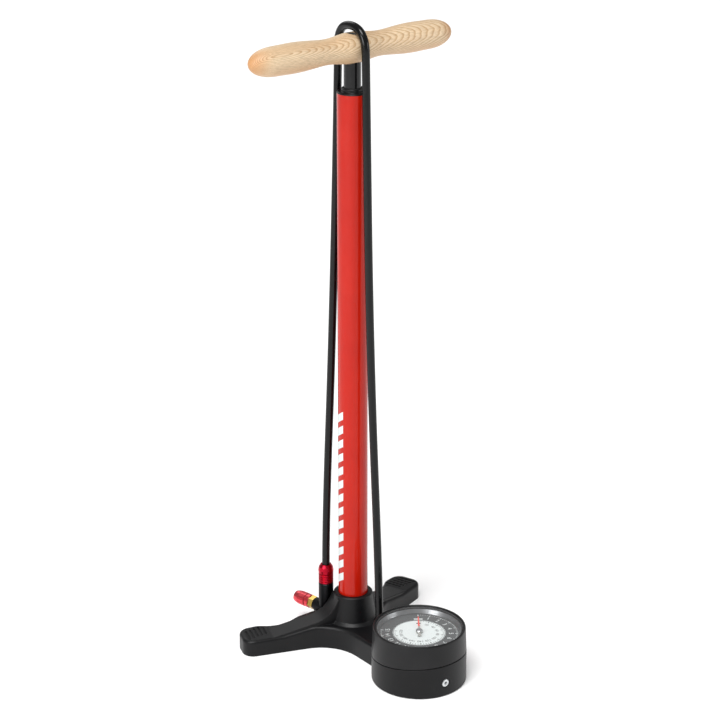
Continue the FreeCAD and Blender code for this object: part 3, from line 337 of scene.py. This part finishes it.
BASE_PLASTIC = moulded_plastic("glass_filled_nylon", "#08080A", "#101011", 0.36, 0.5, edge=1.6)
BEZEL_PLASTIC = moulded_plastic("fine_moulded_nylon", "#141415", "#1C1C1D", 0.34, 0.46, 0.5)
CAP_PLASTIC = moulded_plastic("black_acetal", "#0D0D0E", "#161617", 0.24, 0.36, 0.4, 0.5)
BUSH_PLASTIC = moulded_plastic("natural_acetal", "#C9C6BC", "#D8D5CC", 0.35, 0.5, 0.6, 0.3)
RED_PAINT = gloss_paint("red_powder_paint", "#AA1505", "#B61B08", 0.18, 0.16)
BLACK_PAINT = gloss_paint("black_gloss_paint", "#060607", "#0C0C0D", 0.12, 0.3)
HOSE_RUBBER = extruded_rubber()
SEAL_RUBBER = seal_rubber()
ASH = turned_ash()
RED_ANODISED = turned_metal("red_anodised_aluminium", "#A40E22", "#C22238", 0.22, 0.36)
# the chuck's cap gets a lighter, pinker copy of the red anodising: a painted highlight
CAP_ANODISED_PAINTED_HIGHLIGHT = turned_metal("red_anodised_aluminium_painted_highlight", "#DC4852", "#EE6A70", 0.26, 0.4)
BLACK_ANODISED = turned_metal("black_anodised_aluminium", "#1C1C1E", "#2A2A2C", 0.3, 0.45)
BRASS = turned_metal("turned_brass", "#C9A650", "#DDC072", 0.2, 0.34)
PLATED_STEEL = turned_metal("zinc_plated_steel", "#B4B6B8", "#CACCCE", 0.25, 0.4)
BRIGHT_RING = turned_metal("satin_aluminium", "#7C7E80", "#929496", 0.28, 0.4)
SCREW_STEEL = socket_screw()
LENS = clear_lens()
DIAL_GREY = printed_ink("grey_dial_ink", "#3C3E3F", "#454748")
DIAL_WHITE = printed_ink("white_dial_ink", "#CDD4D3", "#D8DEDD")
DIAL_BLACK = printed_ink("black_dial_ink", "#1C1C1E", "#2A2A2C")
POINTER_RED = pointer_lacquer()

FINISH = {
    "base": BASE_PLASTIC, "foot_pads": SEAL_RUBBER, "case_screws": PLATED_STEEL,
    "rim_screw": SCREW_STEEL, "barrel": RED_PAINT, "barrel_seal": SEAL_RUBBER,
    "barrel_cap": CAP_PLASTIC, "rod_bush": BUSH_PLASTIC, "rod_wiper": SEAL_RUBBER,
    "piston_rod": BLACK_PAINT, "rod_plugs": BRIGHT_RING, "piston": CAP_PLASTIC,
    "piston_seal": SEAL_RUBBER, "piston_nut": PLATED_STEEL, "piston_bolt": PLATED_STEEL,
    "rod_bumper": SEAL_RUBBER, "handle": ASH, "handle_screw": BLACK_ANODISED,
    "valve_seat": BRASS, "valve_ball": SEAL_RUBBER, "gauge_bezel": BEZEL_PLASTIC,
    "gauge_gasket": SEAL_RUBBER, "gauge_glass": LENS, "dial_ring": BRIGHT_RING,
    "dial_plate": DIAL_GREY, "gauge_stem": BRASS, "bourdon_tube": BRASS,
    "tube_blocks": BRASS, "movement_plates": BRASS, "movement_pillars": BRASS,
    "sector_gear": BRASS, "sector_arbor": PLATED_STEEL, "pinion": BRASS,
    "pointer_arbor": PLATED_STEEL, "pointer": POINTER_RED, "hose_fitting": BLACK_ANODISED,
    "chuck_nut": RED_ANODISED, "chuck_body": BLACK_ANODISED, "chuck_hex": BRASS,
    "chuck_seal": SEAL_RUBBER, "chuck_cap": CAP_ANODISED_PAINTED_HIGHLIGHT, "hose": HOSE_RUBBER,
}
for name, material in FINISH.items():
    mesh = nodes[name].data
    mesh.materials.clear()
    mesh.materials.append(material)


# ---------------------------------------------------------------- pieces
def piece(name, shape, material, body, smooth=True):
    """Turn a bmesh into a piece that rides on a body."""
    mesh = bpy.data.meshes.new(name)
    shape.to_mesh(mesh)
    shape.free()
    mesh.materials.append(material)
    for face in mesh.polygons:
        face.use_smooth = smooth
    thing = bpy.data.objects.new(name, mesh)
    bpy.context.collection.objects.link(thing)
    if body:
        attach(thing, body)
    return thing


# the hose's route: up from its fitting, over the grip and down to the chuck, in millimetres
HOSE_ROUTE = [
    (0, -45, 30), (0, -45, 65), (0, -27.9, 333.5), (0, -21.6, 605), (0, -20.4, 653.6),
    (0, 23, 653.6), (0, 23, 605), (-7.4, 23, 353.5), (-14.8, 27.6, 124.5),
    (-14.8, 27.6, 63.5),
]
HOSE_RADIUS = 4.1 * MM
HOSE_SIDES = 24
CURVE_STEPS = 24


def route_points():
    """Points read from the smooth spline that the route's points steer."""
    curve = bpy.data.curves.new("hose_route", "CURVE")
    curve.dimensions = "3D"
    curve.resolution_u = CURVE_STEPS
    spline = curve.splines.new("NURBS")
    spline.points.add(len(HOSE_ROUTE) - 1)
    for point, spot in zip(spline.points, HOSE_ROUTE):
        point.co = [value * MM for value in spot] + [1.0]
    spline.order_u = 3
    spline.use_endpoint_u = True
    holder = bpy.data.objects.new("hose_route", curve)
    mesh = bpy.data.meshes.new_from_object(holder)
    points = [vertex.co.copy() for vertex in mesh.vertices]
    bpy.data.objects.remove(holder)
    bpy.data.meshes.remove(mesh)
    return points


def add_hose():
    """The hose as a round tube along its route."""
    points = route_points()
    shape = bmesh.new()
    loops = []
    side = Vector((1, 0, 0))
    for index, point in enumerate(points):
        ahead = points[min(index + 1, len(points) - 1)] - points[max(index - 1, 0)]
        ahead.normalize()
        side = (side - ahead * side.dot(ahead)).normalized()
        made = bmesh.ops.create_circle(shape, segments=HOSE_SIDES,
                                       radius=HOSE_RADIUS)["verts"]
        # a dict keeps the edges in one order, so that every run builds the same faces
        ring = dict.fromkeys(edge for vertex in made for edge in vertex.link_edges)
        loops.append(list(ring))
        turn = Matrix((side, ahead.cross(side), ahead)).transposed().to_4x4()
        bmesh.ops.transform(shape, matrix=Matrix.Translation(point) @ turn, verts=made)
    for low, high in zip(loops, loops[1:]):
        bmesh.ops.bridge_loops(shape, edges=low + high)
    for rim in (loops[0], loops[-1]):
        bmesh.ops.edgeloop_fill(shape, edges=rim)
    bmesh.ops.recalc_face_normals(shape, faces=shape.faces)
    hose = piece("hose_tube", shape, HOSE_RUBBER, None)
    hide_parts("hose")
    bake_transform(hose)


add_hose()


# ---------------------------------------------------------------- dial
ZERO = 53.0  # where the scales start, in degrees from +X
SWEEP = 280.0  # how far the pointer turns, clockwise
DISC_INK, OUTER_INK, INNER_INK = 0.05 * MM, 0.06 * MM, 0.09 * MM  # heights above the plate
DISC_REACH = (2.2 * MM, 26.0 * MM)
DISC_STEPS = 96
RIM_LINE = (26.6 * MM, 26.9 * MM)
# where the long and the short marks of a scale start, where all end, and their two widths
OUTER_MARKS = (36.6 * MM, 37.7 * MM, 39.4 * MM, 0.8 * MM, 0.45 * MM)
INNER_MARKS = (22.6 * MM, 23.8 * MM, 25.4 * MM, 0.9 * MM, 0.55 * MM)
# how far the figures of a scale stand from the dial's centre, and how high they are
OUTER_FIGURES = (32.2 * MM, 6.8 * MM)
INNER_FIGURES = (18.6 * MM, 4.6 * MM)


def on_dial(radius, turn, lift):
    """A point above the dial, at an angle in degrees from +X."""
    angle = math.radians(turn)
    return Vector((radius * math.cos(angle), GAUGE_Y + radius * math.sin(angle),
                   DIAL_TOP + lift))


def flat_disc(shape, inner, outer, lift):
    """A flat ring of print on the dial."""
    ends = [shape.verts.new(on_dial(radius, 0.0, lift)) for radius in (inner, outer)]
    edge = shape.edges.new(ends)
    bmesh.ops.spin(shape, geom=ends + [edge], cent=(0, GAUGE_Y, 0), axis=(0, 0, 1),
                   angle=math.tau, steps=DISC_STEPS, use_merge=True)


def bar(shape, turn, inner, outer, width, lift):
    """One straight scale mark that points at the dial's centre."""
    made = bmesh.ops.create_grid(shape, x_segments=1, y_segments=1, size=0.5)["verts"]
    size = Matrix.Diagonal((outer - inner, width, 1, 1))
    spin = Matrix.Rotation(math.radians(turn), 4, "Z")
    out = Matrix.Translation(((inner + outer) / 2, 0, 0))
    home = Matrix.Translation((0, GAUGE_Y, DIAL_TOP + lift))
    bmesh.ops.transform(shape, matrix=home @ spin @ out @ size, verts=made)


def figure(shape, text, radius, turn, height, lift):
    """A number printed on the dial, its foot towards the centre."""
    curve = bpy.data.curves.new("figure", "FONT")
    curve.body = text
    curve.size = height
    curve.align_x = "CENTER"
    curve.align_y = "CENTER"
    holder = bpy.data.objects.new("figure", curve)
    mesh = bpy.data.meshes.new_from_object(holder)
    spin = Matrix.Rotation(math.radians(turn - 90.0), 4, "Z")
    mesh.transform(Matrix.Translation(on_dial(radius, turn, lift)) @ spin)
    shape.from_mesh(mesh)
    bpy.data.objects.remove(holder)
    bpy.data.meshes.remove(mesh)


def face_up(shape):
    """Turn every face of a flat print towards the glass."""
    for face in shape.faces:
        face.normal_update()
        if face.normal.z < 0:
            face.normal_flip()


def add_scale(shape, steps, every, marks, lift):
    """The marks of one scale; each one at a multiple of every is long."""
    long_start, short_start, end, long_width, short_width = marks
    for step in range(steps + 1):
        turn = ZERO - SWEEP * step / steps
        if step % every == 0:
            bar(shape, turn, long_start, end, long_width, lift)
        else:
            bar(shape, turn, short_start, end, short_width, lift)


def add_print(name, shape, material):
    """A finished flat print, facing the glass."""
    face_up(shape)
    piece(name, shape, material, "frame", smooth=False)


def add_dial():
    """White inner disc, both scales with their numbers, and the pointer's boss."""
    disc = bmesh.new()
    flat_disc(disc, *DISC_REACH, DISC_INK)
    bmesh.ops.recalc_face_normals(disc, faces=disc.faces)
    add_print("dial_inner_disc", disc, DIAL_WHITE)

    white = bmesh.new()
    add_scale(white, 75, 5, OUTER_MARKS, OUTER_INK)
    reach, height = OUTER_FIGURES
    for step in range(1, 16):
        figure(white, str(step), reach, ZERO - SWEEP * step / 15, height, OUTER_INK)
    # a plain block beside each scale's start
    bar(white, ZERO, 28.6 * MM, 30.8 * MM, 9.0 * MM, OUTER_INK)
    flat_disc(white, *RIM_LINE, OUTER_INK)
    add_print("dial_outer_print", white, DIAL_WHITE)

    black = bmesh.new()
    add_scale(black, 44, 4, INNER_MARKS, INNER_INK)
    reach, height = INNER_FIGURES
    for step in range(1, 12):
        figure(black, str(step * 20), reach, ZERO - SWEEP * step / 11, height, INNER_INK)
    bar(black, ZERO, 19.2 * MM, 21.2 * MM, 4.6 * MM, INNER_INK)
    add_print("dial_inner_print", black, DIAL_BLACK)

    hub = bmesh.new()
    place = Matrix.Translation((0, GAUGE_Y, DIAL_TOP + 3.25 * MM))
    bmesh.ops.create_cone(hub, cap_ends=True, segments=48, radius1=3.6 * MM, radius2=2.9 * MM,
                          depth=0.9 * MM, matrix=place)
    piece("pointer_boss", hub, PLATED_STEEL, "pointer", smooth=False)


add_dial()


# ---------------------------------------------------------------- printed marks on the barrel
MARKS = 13
MARK_SIDES = (172.0, -8.0)  # the middle of each row, in degrees from +X
MARK_SWEEP = 40.0  # how far round the barrel a bar reaches
MARK_STEPS = 9
MARK_START = 65.0 * MM
MARK_PITCH = 15.0 * MM
MARK_HEIGHT = 8.6 * MM
MARK_LEAN = 7.0 * MM  # how far a bar climbs on its way round
PAINT_LIFT = 0.05 * MM


def add_barrel_marks():
    """A row of slanted white bars up each side of the barrel, on the paint."""
    shape = bmesh.new()
    low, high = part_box("barrel")
    radius = (high.x - low.x) / 2 + PAINT_LIFT
    for side in MARK_SIDES:
        for index in range(MARKS):
            angle = math.radians(side - MARK_SWEEP / 2)
            foot = Vector((radius * math.cos(angle), radius * math.sin(angle),
                           MARK_START + MARK_PITCH * index))
            head = foot + Vector((0, 0, MARK_HEIGHT))
            ends = [shape.verts.new(foot), shape.verts.new(head)]
            edge = shape.edges.new(ends)
            bmesh.ops.spin(shape, geom=ends + [edge], cent=(0, 0, 0), axis=(0, 0, 1),
                           dvec=(0, 0, MARK_LEAN / MARK_STEPS),
                           angle=math.radians(MARK_SWEEP), steps=MARK_STEPS)
    for face in shape.faces:
        face.normal_update()
        if face.normal.x * face.calc_center_median().x < 0:
            face.normal_flip()
    piece("barrel_marks", shape, DIAL_WHITE, "frame")


add_barrel_marks()


# ---------------------------------------------------------------- studio
FLOOR_HALF = 60.0
LIGHT_AIM = (0, 0, 0.3)
ROOM_LIGHT = 0.32
# name, kind, place, power, and a sun's angle in degrees or a box's width
LIGHTS = [
    ("high_light", "SUN", (-1.3, -0.9, 3.4), 2.6, 30.0),
    ("left_box", "AREA", (-2.2, -0.5, 1.3), 30.0, 1.0),
    ("right_box", "AREA", (1.6, -1.9, 1.0), 9.0, 0.7),
    ("back_box", "AREA", (0.6, 2.4, 2.2), 14.0, 1.6),
]


def studio_paper():
    """White paper, matt, with a faint tooth."""
    material, tree = new_material("studio_paper", Specular_IOR_Level=0.1)
    spot = add(tree, "ShaderNodeTexCoord", out="Object")
    tooth = add(tree, "ShaderNodeTexNoise", Vector=spot, Scale=2.0, Detail=3.0)
    colour = add(tree, "ShaderNodeValToRGB", {"stops": [(0.3, "#F6F6F6"), (0.7, "#FBFBFB")]},
                 Fac=tooth)
    rough = add(tree, "ShaderNodeMapRange", Value=tooth, To_Min=0.85, To_Max=0.95)
    drive(tree, Base_Color=colour, Roughness=rough)
    return material


def add_light(name, kind, place, power, size):
    """A soft light that points at the middle of the pump."""
    lamp = bpy.data.lights.new(name, kind)
    lamp.energy = power
    if kind == "SUN":
        lamp.angle = math.radians(size)
    else:
        lamp.size = size
    holder = bpy.data.objects.new(name, lamp)
    bpy.context.collection.objects.link(holder)
    holder.location = place
    look = Vector(LIGHT_AIM) - Vector(place)
    holder.rotation_euler = look.to_track_quat("-Z", "Y").to_euler()


def add_studio():
    """A white sweep of paper, a broad high light, and softer boxes left, right and behind."""
    floor = bmesh.new()
    bmesh.ops.create_grid(floor, x_segments=1, y_segments=1, size=FLOOR_HALF)
    piece("studio_floor", floor, studio_paper(), None)
    for light in LIGHTS:
        add_light(*light)
    world = bpy.data.worlds.new("studio_world")
    bpy.context.scene.world = world
    world.use_nodes = True
    back = world.node_tree.nodes["Background"]
    back.inputs["Color"].default_value = (1, 1, 1, 1)
    back.inputs["Strength"].default_value = ROOM_LIGHT


add_studio()
bpy.context.scene.view_settings.view_transform = "Standard"
